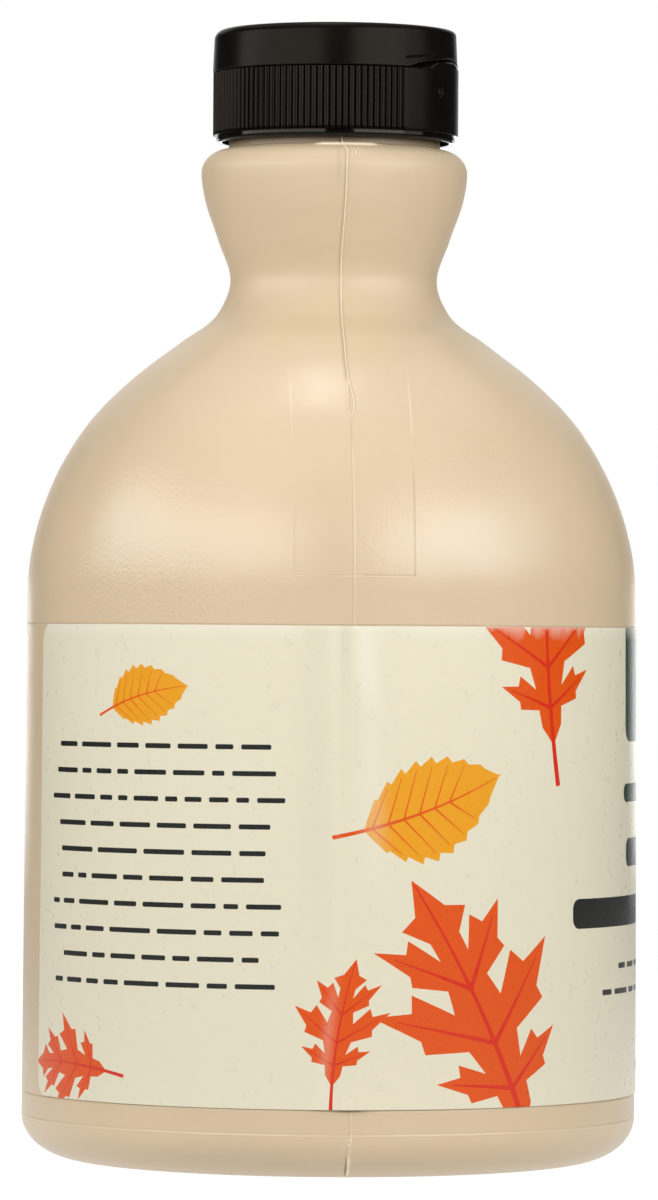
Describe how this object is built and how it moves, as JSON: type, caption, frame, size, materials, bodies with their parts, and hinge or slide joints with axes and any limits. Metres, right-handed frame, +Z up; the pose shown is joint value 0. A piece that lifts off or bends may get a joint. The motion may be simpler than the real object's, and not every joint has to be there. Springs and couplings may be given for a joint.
{
  "type": "maple syrup jug",
  "caption": "Shut tan plastic syrup jug with a finger-loop handle, a ribbed black flip-top cap and a wrap-round leaf label.",
  "frame": {"origin": "middle of the bounding box's underside, at the middle of the base on the surface it stands on", "axes": "+Z up; the front of the label and the cap's thumb panel face -Y; the handle is on the +X side"},
  "size_m": [0.1016, 0.1012, 0.1854],
  "materials": {
    "jug_plastic": "tan opaque polyethylene, satin, with a fine grain",
    "cap_plastic": "black polypropylene, satin",
    "label_film": "cream printed film, satin"
  },
  "bodies": {
    "root": {"jug": "jug_plastic", "cap_skirt": "cap_plastic", "cap_lid": "cap_plastic", "label": "label_film"}
  },
  "joints": []
}
